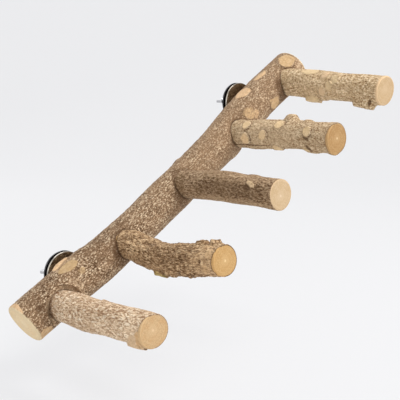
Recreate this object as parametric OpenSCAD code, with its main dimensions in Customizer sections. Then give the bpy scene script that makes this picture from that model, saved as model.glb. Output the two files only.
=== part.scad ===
// Staircase perch: a leaning branch trunk with five round pegs standing out of its front.
// It hangs on the inside of a wall of wires by two studs, each clamped with washers and a wing nut.
// X runs along the wire wall, +Y points out through the wall, Z is up.
// The origin is on the lower stud's axis, on the outer face of its inner washer.

/* [Trunk] */
// Length of the trunk
trunk_len = 390; // [370:5:440]
// Mean diameter of the trunk over the bark
trunk_d = 38; // [35:0.5:42]
// Slope of the trunk above the horizontal, in degrees
trunk_lean = 32.3; // [20:0.5:50]
// Width of the sanded round on the trunk's two ends
trunk_round = 2.4; // [1:0.2:4]

/* [Pegs] */
// Mean diameter of a peg over the bark
peg_d = 27; // [24:0.5:29]
// Mean length of a peg in front of the trunk
peg_reach = 115.5; // [95:0.5:140]
// Distance from the trunk's lower end to the lowest peg's axis
peg_first = 34.5; // [30:0.5:36]
// Distance from the highest peg's axis to the trunk's upper end
peg_last = 25.5; // [22:0.5:30]
// Depth of a peg's socket below the front of the trunk
socket_depth = 7.2; // [6:0.2:9]
// Width of the sanded round on a peg's end
peg_round = 1.2; // [0.8:0.2:3]

/* [Clamps] */
// Free distance from the lowest peg's screw head to the lower washer
clamp_clear_low = 4.5; // [2:0.5:10]
// Free distance from the highest peg's screw head to the upper washer
clamp_clear_high = 20; // [2:0.5:24]
// Diameter of the hanger bolts
bolt_d = 6; // [5:0.5:6.5]
// Length of a stud beyond the inner washer
stud_out = 24; // [22:0.5:32]
// Length of a hanger bolt inside the wood
bolt_bite = 26; // [20:0.5:28]
// Diameter of the washers
washer_d = 38; // [34:0.5:40]
// Thickness of the washers
washer_t = 1.6; // [1:0.1:2]
// Gap between the two washers of a clamp, where the wires of the wall go
grip_gap = 3.2; // [2.5:0.1:4]

/* [Wing nuts] */
// Distance across the two wings
wing_span = 32; // [28:0.5:34]
// Height of the wings above the nut's base
wing_h = 14; // [12:0.5:16]
// Thickness of the wings
wing_t = 2.2; // [1.6:0.1:3]
// Diameter of the nut's base
hub_d = 12.4; // [11:0.2:14]
// Height of the nut's threaded hub
hub_h = 7; // [6:0.2:9]

/* [Peg screws] */
// Diameter of the screws that hold the pegs
screw_d = 4.5; // [3.5:0.5:5]
// Length of the screws with their heads
screw_len = 60; // [50:5:75]
// Diameter of the countersunk heads
screw_head_d = 9; // [8:0.5:10]

/* [Hidden] */
$fn = 48;
cut_over = 6;          // how far a cut runs past the surface
fit_play = 0.05;       // radial clearance of a bolt or screw in its hole
socket_play = 0.12;    // radial clearance of a peg in its socket
washer_play = 0.2;     // radial clearance of a washer on its stud
nut_gap = 0.1;         // gap between the outer washer and the wing nut's base
spot_depth = 1.8;      // depth of the flat cut where a washer seats on the trunk
spot_margin = 0.5;     // free rim round a washer on its flat
head_sink = 1.1;       // depth of a screw head below the back of the trunk
washer_bevel = 0.3;    // bevel on the washers' edges
stud_bevel = 0.8;      // bevel on a stud's free end
point_len = 5;         // length of a bolt's or screw's point
ring_step = 5;         // distance between the rings of a limb's surface
peg_sides = 26;
trunk_sides = 34;
peg_count = 5;          // each peg is a node of its own
round_rings = 3;       // rings in the sanded round of a limb's end

trunk_r = trunk_d / 2;
peg_r = peg_d / 2;
bolt_r = bolt_d / 2;
washer_r = washer_d / 2;
screw_r = screw_d / 2;
head_r = screw_head_d / 2;
hub_r = hub_d / 2;
stud_seat = trunk_r - spot_depth;
axis_y = -(stud_seat + washer_t);
peg_seat = trunk_r - socket_depth;
head_top = trunk_r - head_sink;
peg_len = trunk_r + peg_reach - peg_seat;
peg_spacing = (trunk_len - peg_first - peg_last) / (peg_count - 1);
clamp_first = peg_first + head_r + clamp_clear_low + washer_r;
clamp_last = trunk_len - peg_last - head_r - clamp_clear_high - washer_r;

// Each branch differs a little. Shares of the mean diameter and reach, and of the peg's radius for
// how far a peg's foot lies below the trunk's straight line, then tilt and swing in degrees.
peg_d_shares = [1.005, 0.975, 0.99, 1.02, 1.035];
peg_reach_shares = [1.008, 1.031, 0.995, 1.001, 1.002];
peg_drop_shares = [0.41, 0.57, 0.33, 0.42, 0];
peg_tilts = [3.75, 3.6, 2.2, 1.8, -2.59];
peg_swings = [-0.28, -0.2, 0.78, 0.07, 0.24];

// The flat cut into the trunk round each peg's foot: depth and free rim as shares of the peg's radius
foot_flat_shares = [[0.34, 0.34], [0.14, 0.10], [0.10, 0.08], [0.12, 0.10], [0.12, 0.10]];

// How far each stud lies below the trunk's straight line, as a share of the trunk's radius
clamp_drop_shares = [0.11, -0.16];

// Waviness of the bark: height and wave length as shares of the radius
wave_share = 0.018;
wave_len_share = 5.2;
cross_wave_share = 1.7;

// The bend of each branch: place along it, then offset of its centre line as a share of its radius,
// downwards on the trunk and upwards on a peg
trunk_bend_shares = [
    [0, 0.02], [0.05, 0.05], [0.115, 0.13], [0.19, 0.28], [0.28, 0.41], [0.46, 0.43], [0.635, 0.35],
    [0.70, 0.25], [0.82, 0.02], [0.92, 0], [1, -0.01]
];
peg_bend_shares = [
    [[0, 0], [0.35, -0.10], [0.55, -0.04], [1, 0]],
    [[0, 0], [0.18, -0.30], [0.40, -0.52], [0.62, -0.38], [0.79, -0.18], [1, 0]],
    [[0, 0], [0.35, 0.13], [0.65, 0.07], [1, 0]],
    [[0, 0], [0.30, 0.04], [0.58, 0.12], [0.83, 0.03], [1, 0]],
    [[0, 0], [1, 0]]
];

// The girth of each branch: place along it, then radius as a share of its mean radius
trunk_girth_shares = [
    [0, 1], [0.05, 1.03], [0.115, 1.02], [0.20, 0.995], [0.28, 0.98], [0.50, 0.975], [0.64, 0.99],
    [0.70, 1], [0.82, 1.04], [0.92, 1.02], [1, 1.01]
];
peg_girth_shares = [
    [[0, 1], [0.30, 1.03], [0.80, 0.97], [1, 1]],
    [[0, 1], [0.50, 1.04], [0.80, 1.04], [1, 1]],
    [[0, 1], [0.40, 1.03], [0.70, 0.99], [1, 1]],
    [[0, 1], [0.30, 1.01], [0.70, 0.98], [1, 1]],
    [[0, 1], [0.50, 1], [0.75, 0.965], [1, 0.985]]
];

// Knots and lumps of a limb. Each has its place along the limb as a share of the length, the angle
// round it, its height and half length as shares of the radius, its half width in degrees, and
// 1 for a round lump or more for one sawn off flat. On a peg the angle runs from the top to the
// -X side, on the trunk from the front downwards.
trunk_knot_shares = [
    [0.150, -80, 0.13, 0.66, 32, 1.8],
    [0.197, -100, 0.06, 0.45, 26, 1],
    [0.146, -36, 0.07, 0.34, 18, 1],
    [0.808, -96, 0.03, 0.52, 24, 1.7],
    [0.885, -108, 0.03, 0.56, 26, 1.7],
    [0.961, -56, 0.12, 0.44, 25, 1.8],
    [0.766, -25, 0.04, 0.38, 20, 1.6],
    [0.855, 16, 0.05, 0.44, 22, 1.6],
    [0.350, 100, 0.10, 0.55, 26, 1.6],
    [0.560, -165, 0.09, 0.50, 24, 1.7],
    [0.690, 70, 0.07, 0.45, 24, 1]
];
peg_knot_shares = [
    [
        [0.885, 158, 0.22, 0.58, 34, 1.7], [0.420, -60, 0.09, 0.50, 26, 1.6], [0.620, -120, 0.08, 0.45, 24, 1]
    ],
    [
        [0.425, 158, 0.24, 0.44, 26, 1.7], [0.520, 158, 0.14, 0.32, 24, 1.7], [0.698, 160, 0.14, 0.44, 26, 1.7],
        [0.790, 160, 0.07, 0.38, 26, 1.7], [0.792, -2, 0.25, 0.40, 20, 1.7], [0.912, -2, 0.27, 0.34, 18, 1.7],
        [0.868, 34, 0.08, 0.32, 24, 1], [0.640, 75, 0.07, 0.40, 24, 1], [0.520, -80, 0.10, 0.45, 26, 1.6]
    ],
    [
        [0.785, 50, 0.07, 0.30, 14, 1.6], [0.815, 58, 0.07, 0.30, 14, 1.6], [0.735, -10, 0.07, 0.46, 26, 1],
        [0.330, -100, 0.08, 0.45, 26, 1.6]
    ],
    [
        [0.184, 50, 0.09, 0.36, 20, 1.8], [0.193, 104, 0.11, 0.40, 22, 1.8], [0.375, 90, 0.11, 0.34, 21, 1.5],
        [0.521, 46, 0.07, 0.42, 22, 1.6], [0.803, 68, 0.08, 0.34, 20, 1.5], [0.560, -8, 0.38, 0.48, 27, 1],
        [0.742, 2, 0.11, 0.32, 24, 1], [0.478, 152, 0.08, 0.42, 24, 1.6], [0.795, 163, 0.13, 0.58, 30, 1],
        [0.230, 166, 0.06, 0.80, 36, 1], [0.998, 160, 0.10, 0.45, 30, 1]
    ],
    [
        [0.290, 16, 0.03, 0.80, 30, 1.7], [0.335, 168, 0.30, 0.58, 30, 1.9], [0.425, 172, 0.10, 0.44, 28, 1],
        [0.790, 168, 0.33, 0.44, 28, 1.8], [0.855, 168, 0.41, 0.54, 30, 1.8], [0.472, 38, 0.06, 0.38, 24, 1],
        [0.586, 60, 0.05, 0.36, 22, 1.5], [0.545, 88, 0.05, 0.34, 20, 1.5], [0.476, 112, 0.08, 0.32, 20, 1.5],
        [0.640, -95, 0.09, 0.45, 26, 1.6]
    ]
];

function smooth(t) = let (c = max(0, min(1, t))) c * c * (3 - 2 * c);
function turn_between(a, b) = abs((a - b + 900) % 360 - 180);

// Value at t of a smooth curve through a table of [place, value], level at both ends
function slope_at(list, i) = i == 0 || i == len(list) - 1 ? 0
    : (list[i + 1][1] - list[i - 1][1]) / (list[i + 1][0] - list[i - 1][0]);
function curve_at(list, t, i = 0) =
    i < len(list) - 2 && t > list[i + 1][0] ? curve_at(list, t, i + 1)
    : let (
        step = list[i + 1][0] - list[i][0],
        c = max(0, min(1, (t - list[i][0]) / step)),
        rise = list[i + 1][1] - list[i][1],
        a = slope_at(list, i) * step,
        b = slope_at(list, i + 1) * step
    )
    list[i][1] + c * a + c * c * (3 * rise - 2 * a - b) + c * c * c * (a + b - 2 * rise);

// Height of one knot above the limb at height z and angle a
function knot_height(k, z, a, r, len) =
    let (along = (z - k[0] * len) / (k[3] * r), round = turn_between(a, k[1]) / k[4])
    k[2] * r * min(1, k[5] * exp(-pow(along * along + round * round, 2)));

function bark_wave(z, a, r, seed) =
    let (slow = 360 * z / (wave_len_share * r), fast = slow * cross_wave_share)
    wave_share * r * (sin(2 * a + slow + seed) + 0.6 * sin(3 * a - fast + 2 * seed));

// Radius of a limb, round and plain up to its clean length, then wavy and knotted
function limb_radius(z, a, r, len, girth, knots, seed, clean) =
    let (rough = clean > 0 ? smooth((z - clean) / r) : 1)
    r + rough * (
        r * (curve_at(girth, z / len) - 1) + bark_wave(z, a, r, seed)
        + max([for (k = knots) knot_height(k, z, a, r, len)])
    );

// Heights of the rings: a sanded round at each end and even steps between
function limb_rings(len, round) =
    let (steps = ceil((len - 2 * round) / ring_step))
    concat(
        [for (i = [0:round_rings - 1]) round * (1 - cos(90 * i / round_rings))],
        [for (i = [0:steps]) round + (len - 2 * round) * i / steps],
        [for (i = [1:round_rings]) len - round + round * sin(90 * i / round_rings)]
    );

// How far the sanded round draws the surface in
function end_inset(z, len, round) =
    let (left = min(z, len - z), t = max(0, 1 - left / round))
    round * (1 - sqrt(max(0, 1 - t * t)));

// A branch along +Z with its bend, knots, waves and sanded ends. The bend moves its centre line
// along X on a peg and along Y on the trunk.
module limb(len, r, round, sides, bend, girth, knots, seed, clean, bend_along) {
    rings = limb_rings(len, round);
    last = len(rings) - 1;
    points = [
        for (z = rings)
            let (
                shift = r * curve_at(bend, max(0, z - clean) / (len - clean)),
                inset = end_inset(z, len, round)
            )
            for (j = [0:sides - 1])
                let (
                    a = 360 * j / sides,
                    reach = limb_radius(z, a, r, len, girth, knots, seed, clean) - inset
                )
                [reach * cos(a) + shift * bend_along[0], reach * sin(a) + shift * bend_along[1], z]
    ];
    walls = [
        for (i = [0:last - 1]) for (j = [0:sides - 1])
            let (p = i * sides + j, q = i * sides + (j + 1) % sides)
            each [[p, p + sides, q + sides], [p, q + sides, q]]
    ];
    foot = [for (j = [0:sides - 1]) j];
    head = [for (j = [sides - 1:-1:0]) last * sides + j];
    polyhedron(points, concat([foot], walls, [head]));
}

// Places what follows on the trunk's straight line, or a drop below it
module on_trunk(along, drop = 0) {
    d = along - clamp_first;
    below = drop - trunk_r * clamp_drop_shares[0];
    translate([
        d * cos(trunk_lean) + below * sin(trunk_lean), axis_y, d * sin(trunk_lean) - below * cos(trunk_lean)
    ])
        children();
}

// Turns +Z into peg i's direction out of the trunk, and +X up
module on_peg(i) {
    on_trunk(peg_first + i * peg_spacing)
        translate([0, 0, -peg_r * peg_drop_shares[i]])
            rotate([0, 0, -peg_swings[i]])
                rotate([90 - peg_tilts[i], 0, 0])
                    rotate([0, 0, 90])
                        children();
}

// Turns +Z into a stud's direction out of the wall, from the trunk's axis
module on_clamp(i) {
    on_trunk([clamp_first, clamp_last][i], trunk_r * clamp_drop_shares[i])
        rotate([-90, 0, 0])
            children();
}

module trunk() {
    color("#a9855b")
        difference() {
            on_trunk(0)
                rotate([0, 90 - trunk_lean, 0])
                    rotate([0, 0, -90])
                        limb(
                            trunk_len, trunk_r, trunk_round, trunk_sides, trunk_bend_shares,
                            trunk_girth_shares, trunk_knot_shares, 40, 0, [0, 1]
                        );
            for (i = [0:peg_count - 1])
                on_peg(i)
                    peg_cuts(peg_r * peg_d_shares[i], foot_flat_shares[i]);
            for (i = [0:1])
                on_clamp(i)
                    clamp_cuts();
        }
}

// The socket for a peg, the flat round its foot and the countersunk hole for its screw
module peg_cuts(r, flat) {
    translate([0, 0, trunk_r - flat[0] * r])
        cylinder(h = flat[0] * r + cut_over, r = r * (1 + flat[1]));
    translate([0, 0, peg_seat])
        cylinder(h = socket_depth + cut_over, r = r + socket_play);
    translate([0, 0, -trunk_r - cut_over])
        cylinder(h = trunk_r + cut_over + peg_seat + fit_play, r = screw_r + fit_play);
    translate([0, 0, -head_top])
        cylinder(h = head_r - screw_r, r1 = head_r + fit_play, r2 = screw_r + fit_play);
    translate([0, 0, -trunk_r - cut_over])
        cylinder(h = cut_over + head_sink, r = head_r + fit_play);
}

// The flat seat of an inner washer and the hole for its hanger bolt
module clamp_cuts() {
    translate([0, 0, stud_seat])
        cylinder(h = spot_depth + cut_over, r = washer_r + spot_margin);
    translate([0, 0, stud_seat - bolt_bite])
        cylinder(h = bolt_bite + cut_over, r = bolt_r + fit_play);
}

module peg(i) {
    r = peg_r * peg_d_shares[i];
    length = peg_len + peg_reach * (peg_reach_shares[i] - 1);
    color(["#b08f68", "#a07a4c", "#8d6c49", "#a48659", "#a88c60"][i])
        on_peg(i)
            difference() {
                translate([0, 0, peg_seat])
                    limb(
                        length, r, peg_round, peg_sides, peg_bend_shares[i], peg_girth_shares[i],
                        peg_knot_shares[i], 70 * i, socket_depth, [1, 0]
                    );
                cylinder(h = screw_len - head_top + fit_play, r = screw_r + fit_play);
            }
}

// A countersunk wood screw, from the back of the trunk into a peg
module peg_screw(i) {
    tip = screw_len - head_top;
    slot_w = screw_r / 2;
    color("#c9b27a")
        on_peg(i)
            difference() {
                rotate_extrude()
                    polygon([
                        [0, -head_top], [head_r, -head_top], [screw_r, head_r - screw_r - head_top],
                        [screw_r, tip - point_len], [0, tip]
                    ]);
                for (a = [0, 90])
                    rotate([0, 0, a])
                        translate([-screw_r, -slot_w / 2, -head_top - slot_w])
                            cube([screw_d, slot_w, slot_w * 2]);
            }
}

// A hanger bolt: wood end in the trunk, stud out through the wall of wires
module hanger_bolt(i) {
    foot = stud_seat - bolt_bite;
    tip = stud_seat + washer_t + stud_out;
    color("#c3c4c6")
        on_clamp(i)
            rotate_extrude()
                polygon([
                    [0, foot], [bolt_r, foot + point_len], [bolt_r, tip - stud_bevel],
                    [bolt_r - stud_bevel, tip], [0, tip]
                ]);
}

// A wide washer with its inner face at a height above the trunk's axis
module washer(height) {
    hole = bolt_r + washer_play;
    translate([0, 0, height])
        rotate_extrude()
            polygon([
                [hole, 0], [washer_r - washer_bevel, 0], [washer_r, washer_bevel],
                [washer_r, washer_t - washer_bevel], [washer_r - washer_bevel, washer_t], [hole, washer_t]
            ]);
}

module inner_washer(i) {
    color("#b9babd")
        on_clamp(i)
            washer(stud_seat);
}

module outer_washer(i) {
    color("#a6a7ab")
        on_clamp(i)
            washer(stud_seat + washer_t + grip_gap);
}

// Point where a line from p touches a circle, on the side that turn picks
function touch_point(p, centre, r, side) =
    let (d = p - centre, a = atan2(d[1], d[0]) + side * acos(r / norm(d)))
    centre + r * [cos(a), sin(a)];

// One wing's outline: a round ear, joined to the hub by its tangents
module wing_outline() {
    ear_r = wing_h / 3;
    ear = [wing_span / 2 - ear_r, wing_h - ear_r];
    low = [0, hub_h / 5];
    high = [0, hub_h * 0.9];
    translate(ear)
        circle(r = ear_r);
    polygon([low, touch_point(low, ear, ear_r, 1), touch_point(high, ear, ear_r, -1), high]);
}

module wing_nut(i) {
    neck_r = hub_r * 0.8;
    lip = hub_h / 6;
    color("#cfd0d2")
        on_clamp(i)
            translate([0, 0, stud_seat + 2 * washer_t + grip_gap + nut_gap])
                difference() {
                    union() {
                        rotate_extrude()
                            polygon([[0, 0], [hub_r, 0], [hub_r, lip], [neck_r, hub_h], [0, hub_h]]);
                        for (side = [0, 180])
                            rotate([90, 0, side])
                                translate([0, 0, -wing_t / 2])
                                    linear_extrude(height = wing_t)
                                        wing_outline();
                    }
                    translate([0, 0, -cut_over])
                        cylinder(h = wing_h + 2 * cut_over, r = bolt_r + fit_play);
                }
}

trunk();
peg(0);  // peg_1
peg(1);  // peg_2
peg(2);  // peg_3
peg(3);  // peg_4
peg(4);  // peg_5
peg_screw(0);  // peg_screw_1
peg_screw(1);  // peg_screw_2
peg_screw(2);  // peg_screw_3
peg_screw(3);  // peg_screw_4
peg_screw(4);  // peg_screw_5
hanger_bolt(0);  // hanger_bolt_lower
hanger_bolt(1);  // hanger_bolt_upper
inner_washer(0);  // inner_washer_lower
inner_washer(1);  // inner_washer_upper
outer_washer(0);  // outer_washer_lower
outer_washer(1);  // outer_washer_upper
wing_nut(0);  // wing_nut_lower
wing_nut(1);  // wing_nut_upper
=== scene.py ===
"""Looks of the staircase perch: bark-covered branches, sanded end grain, washers, studs and wing nuts.

X runs along the wire wall, +Y points out through it and Z is up. Scene units are metres. The branches
are shaped in millimetres, as in the part's source, and brought to metres by their placing matrix.
"""
import math
from collections import namedtuple
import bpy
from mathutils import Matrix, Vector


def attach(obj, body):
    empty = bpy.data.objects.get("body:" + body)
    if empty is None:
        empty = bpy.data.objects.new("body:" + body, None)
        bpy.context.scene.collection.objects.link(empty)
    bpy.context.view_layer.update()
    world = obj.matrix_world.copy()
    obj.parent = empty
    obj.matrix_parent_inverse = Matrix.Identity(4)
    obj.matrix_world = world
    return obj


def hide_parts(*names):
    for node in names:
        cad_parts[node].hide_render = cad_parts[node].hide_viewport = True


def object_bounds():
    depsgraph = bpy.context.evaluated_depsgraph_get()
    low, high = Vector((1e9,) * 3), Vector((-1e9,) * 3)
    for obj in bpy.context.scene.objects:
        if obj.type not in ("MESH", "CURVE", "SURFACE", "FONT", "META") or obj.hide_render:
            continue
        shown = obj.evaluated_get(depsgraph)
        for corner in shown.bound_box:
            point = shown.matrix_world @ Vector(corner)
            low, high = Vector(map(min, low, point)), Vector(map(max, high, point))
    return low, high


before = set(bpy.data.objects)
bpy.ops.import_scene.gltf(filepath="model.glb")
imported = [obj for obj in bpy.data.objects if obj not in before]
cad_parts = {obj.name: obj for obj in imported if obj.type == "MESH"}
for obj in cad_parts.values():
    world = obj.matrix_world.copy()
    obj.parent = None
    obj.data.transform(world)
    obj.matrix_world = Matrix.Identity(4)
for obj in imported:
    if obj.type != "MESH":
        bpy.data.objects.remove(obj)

from types import SimpleNamespace

import bmesh
import bpy
import numpy as np
from mathutils import Matrix, Vector, noise

cad_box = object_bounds()
MM = 0.001

# The branches' sizes, in millimetres, as the part's source has them
TRUNK_LEN, TRUNK_R, TRUNK_ROUND = 390, 19, 2.4
TRUNK_LEAN = math.radians(32.3)
PEG_COUNT, PEG_R, PEG_REACH, PEG_ROUND = 5, 13.5, 115.5, 1.2
PEG_FIRST, PEG_SPACING = 34.5, 82.5
SOCKET_DEPTH, SOCKET_PLAY = 7.2, 0.12
CLAMP_PLACES = (62.5, 321)
CLAMP_DROPS = (0.11, -0.16)
SPOT_DEPTH, WASHER_R, WASHER_T, SPOT_MARGIN = 1.8, 19, 1.6, 0.5
HEAD_R, HEAD_SINK = 4.5, 1.1
STUD_R, STUD_OUT, BOLT_BITE, THREAD_PITCH = 3, 24, 26, 1.0
STUD_SEAT = TRUNK_R - SPOT_DEPTH
AXIS_Y = -(STUD_SEAT + WASHER_T)
PEG_SEAT = TRUNK_R - SOCKET_DEPTH

# Peg by peg: shares of the common radius and reach, how far it sits below the trunk's axis as a share of
# the radius, and how far it tilts and swings, in degrees
PEG_D_SHARES = (1.005, 0.975, 0.99, 1.02, 1.035)
PEG_REACH_SHARES = (1.008, 1.031, 0.995, 1.001, 1.002)
PEG_DROP_SHARES = (0.41, 0.57, 0.33, 0.42, 0)
PEG_TILTS = (3.75, 3.6, 2.2, 1.8, -2.59)
PEG_SWINGS = (-0.28, -0.2, 0.78, 0.07, 0.24)

# The flat round each peg's foot: its depth and its margin, as shares of the peg's radius
FOOT_FLATS = ((0.34, 0.34), (0.14, 0.10), (0.10, 0.08), (0.12, 0.10), (0.12, 0.10))

# The branches' plain form: slow waves as shares of the radius, and how knots are sawn off
WAVE_SHARE, WAVE_LEN_SHARE, CROSS_WAVE_SHARE, CROSS_WAVE_DEPTH = 0.018, 5.2, 1.7, 0.6
SAWN_FROM, SAG_SHARE, SAWN_WIDTH_SHARE, SAWN_TURN = 1.45, 0.6, 0.8, 60

# Where the marks end: 1 is a mark's own edge, and the second number is the band over which it fades
SAWN_EDGE, BARE_EDGE, SHADE_EDGE = (1.1, 0.3), (1.2, 0.4), (1.3, 0.6)
KNOT_BARE, CARVED_FROM, KNOT_PHASE = 0.85, 0.5, 40
COLLAR_MM, COLLAR_AT, CREVICE_MM, CREVICE_AT, RING_MM = 0.5, 0.95, 0.5, 1.7, 0.9
# The dark ring round each bare knot, painted shade in its crevice: its width and where it lies
DARK_RING_MM, DARK_RING_AT = 0.65, 1.12
# Painted shade in the seam where a peg meets the trunk, and how wide it is on the trunk and on the pegs
SEAM_SHADE, TRUNK_SEAM_MM, PEG_SEAM_MM = 0.6, 0.9, 0.5

# The bark's colours: where along the branch it fades, over what depth the painted shading of its hollows comes in,
# how much the lighter marks gain, painted light among them, and the line beside the sanded rim, from its outer edge
# in
FADE_MM, HOLLOW_BAND_MM, LIT_GAIN, LINE_MM = (60.0, 240.0), 0.8, 1.48, (1.0, 0.3, -0.5)

# The bark's relief. The noise that bends it takes its offsets from the clock unless a seed is set
RELIEF_SEED = 2
noise.seed_set(RELIEF_SEED)
TRUNK_SEED, PEG_SEED_STEP = 40, 70
WARP_SHARE, WARP_SCALE = 0.35, 0.6
FRACTAL_POWER, FRACTAL_GAP, FRACTAL_OCTAVES = 0.8, 2.1, 3
CRACK_SCALE, CRACK_WIDTH = 0.55, 0.22
BARE_CALM, ROUND_CALM, EDGE_CALM_MM, FOOT_CALM_MM = 0.85, 0.3, 0.5, 3
FACET_GAP_MM = 0.06

# The meshes: edge lengths, rings in each sanded round and on each end face, how far cutters reach past the
# trunk, and the material slots
TRUNK_STEP_MM, PEG_STEP_MM = 0.95, 0.75
ROUND_RINGS, CAP_RINGS = 6, 8
CUT_OVER = 8
BARK, END_GRAIN, FRESH_CUT = 0, 1, 2

# The side of the pegs, in degrees, where the sanding of the end reaches further in
SLANT_ANGLE = 100

TRUNK_BEND = [
    (0, 0.02), (0.05, 0.05), (0.115, 0.13), (0.19, 0.28), (0.28, 0.41), (0.46, 0.43), (0.635, 0.35),
    (0.70, 0.25), (0.82, 0.02), (0.92, 0), (1, -0.01),
]
TRUNK_GIRTH = [
    (0, 1), (0.05, 1.03), (0.115, 1.02), (0.20, 0.995), (0.28, 0.98), (0.50, 0.975), (0.64, 0.99),
    (0.70, 1), (0.82, 1.04), (0.92, 1.02), (1, 1.01),
]
PEG_BENDS = [
    [(0, 0), (0.35, -0.10), (0.55, -0.04), (1, 0)],
    [(0, 0), (0.18, -0.30), (0.40, -0.52), (0.62, -0.38), (0.79, -0.18), (1, 0)],
    [(0, 0), (0.35, 0.13), (0.65, 0.07), (1, 0)],
    [(0, 0), (0.30, 0.04), (0.58, 0.12), (0.83, 0.03), (1, 0)],
    [(0, 0), (1, 0)],
]
PEG_GIRTHS = [
    [(0, 1), (0.30, 1.03), (0.80, 0.97), (1, 1)],
    [(0, 1), (0.50, 1.04), (0.80, 1.04), (1, 1)],
    [(0, 1), (0.40, 1.03), (0.70, 0.99), (1, 1)],
    [(0, 1), (0.30, 1.01), (0.70, 0.98), (1, 1)],
    [(0, 1), (0.50, 1), (0.75, 0.965), (1, 0.985)],
]

# Marks on the branches. Places are shares of the length from the foot. Angles go round in degrees: 0 is up
# on a peg, and the pegs' side on the trunk. Heights and half lengths are shares of the radius, half widths
# and leans are in degrees. A knot with flat 1 is a round lump, and one above that is sawn off. bare is how
# bare of bark a mark is, tone runs from 0 for straw to 1 for orange. A shade darkens, or lightens where its
# strength is below 0, and is cut in by cut_mm. Besides cracks and darker or lighter bark, some shades are
# painted shadows and painted light
Knot = namedtuple("Knot", "place angle height half_len half_width flat bare tone lean", defaults=[0, 0, 0])
Patch = namedtuple("Patch", "place angle half_len half_width bare tone lean", defaults=[0, 0])
Shade = namedtuple("Shade", "place angle half_len half_width strength cut_mm lean", defaults=[0, 0])

TRUNK_KNOTS = [
    (0.150, -80, 0.13, 0.66, 32, 1.8), (0.197, -100, 0.06, 0.45, 26, 1), (0.146, -36, 0.07, 0.34, 18, 1),
    (0.808, -96, 0.03, 0.52, 24, 1.7), (0.885, -108, 0.03, 0.56, 26, 1.7),
    (0.961, -56, 0.12, 0.44, 25, 1.8, 1, 0.2), (0.766, -25, 0.04, 0.38, 20, 1.6, 0.6, 0.3),
    (0.855, 16, 0.05, 0.44, 22, 1.6, 0.75, 0.3), (0.350, 100, 0.10, 0.55, 26, 1.6, 0.9, 0.4),
    (0.560, -165, 0.09, 0.50, 24, 1.7, 0.9, 0.4), (0.690, 70, 0.07, 0.45, 24, 1),
]
PEG_KNOTS = [
    [
        (0.885, 158, 0.22, 0.58, 34, 1.7, 0.4, 0.6), (0.420, -60, 0.09, 0.50, 26, 1.6, 0.8, 0.3),
        (0.620, -120, 0.08, 0.45, 24, 1),
    ],
    [
        (0.425, 158, 0.24, 0.44, 26, 1.7), (0.520, 158, 0.14, 0.32, 24, 1.7), (0.698, 160, 0.14, 0.44, 26, 1.7),
        (0.790, 160, 0.07, 0.38, 26, 1.7), (0.792, -2, 0.25, 0.40, 20, 1.7),
        (0.912, -2, 0.27, 0.34, 18, 1.7, 0.3, 0.5), (0.868, 34, 0.08, 0.32, 24, 1),
        (0.640, 75, 0.07, 0.40, 24, 1), (0.520, -80, 0.10, 0.45, 26, 1.6, 0.7, 0.3),
    ],
    [
        (0.785, 50, 0.07, 0.30, 14, 1.6), (0.815, 58, 0.07, 0.30, 14, 1.6), (0.735, -10, 0.07, 0.46, 26, 1),
        (0.330, -100, 0.08, 0.45, 26, 1.6, 0.8, 0.3),
    ],
    [
        (0.184, 50, 0.09, 0.36, 20, 1.8, 0.9, 0.25), (0.193, 104, 0.11, 0.40, 22, 1.8, 1, 0.8),
        (0.375, 90, 0.11, 0.34, 21, 1.5, 0.9, 0.5), (0.521, 46, 0.07, 0.42, 22, 1.6, 0.95, 0.3),
        (0.803, 68, 0.08, 0.34, 20, 1.5, 1, 0.2), (0.560, -8, 0.38, 0.48, 27, 1),
        (0.742, 2, 0.11, 0.32, 24, 1, 0.4, 0.9), (0.478, 152, 0.08, 0.42, 24, 1.6, 0.9, 0.2),
        (0.795, 163, 0.13, 0.58, 30, 1), (0.230, 166, 0.06, 0.80, 36, 1), (0.998, 160, 0.10, 0.45, 30, 1),
    ],
    [
        (0.290, 16, 0.03, 0.80, 30, 1.7), (0.335, 168, 0.30, 0.58, 30, 1.9, 0.9, 0.2),
        (0.425, 172, 0.10, 0.44, 28, 1), (0.790, 168, 0.33, 0.44, 28, 1.8), (0.855, 168, 0.41, 0.54, 30, 1.8),
        (0.472, 38, 0.06, 0.38, 24, 1, 0.6, 1), (0.586, 60, 0.05, 0.36, 22, 1.5, 0.95),
        (0.545, 88, 0.05, 0.34, 20, 1.5, 0.95), (0.476, 112, 0.08, 0.32, 20, 1.5, 0.9, 0.7),
        (0.640, -95, 0.09, 0.45, 26, 1.6, 0.8, 0.3),
    ],
]

TRUNK_PATCHES = [
    (0.148, -71, 0.52, 16, 1), (0.144, -98, 0.50, 9, 1, 1, -8), (0.002, -92, 0.26, 34, 1, 1),
    (0.162, -40, 0.24, 9, 0.5), (0.808, -91, 0.46, 23, 1, 1), (0.884, -92, 0.46, 15, 1, 0.8),
    (0.781, -10, 0.20, 14, 0.6, 0.8, 40), (0.970, -62, 0.44, 27, 1, 0.2), (0.016, 38, 0.42, 28, 0.7, 0.6),
    (0.762, -32, 0.30, 16, 0.55, 0.3), (0.843, 1, 0.15, 9, 0.6, 0.3),
]
PEG_PATCHES = [
    [(0.985, 124, 0.50, 44, 1, 1), (0.925, 130, 0.58, 34, 1)],
    [(0.425, 152, 0.45, 24, 0.5), (0.947, 60, 0.35, 20, 0.5, 1), (0.907, 117, 0.32, 20, 0.5, 1)],
    [(0.800, 55, 0.44, 9, 1, 0.3, 22)],
    [(0.765, 146, 0.28, 14, 0.6, 0, 40)],
    [(0.340, 150, 0.62, 16, 0.8), (0.290, 20, 0.74, 28, 0.8)],
]

# Among the trunk's shades: painted shadows that the pegs cast below their feet, the rows at 0.036 and at angles 2
# and 6, and painted light on the flat round the first peg's foot and above it, the rows at 0.0885 and 0.132
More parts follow.
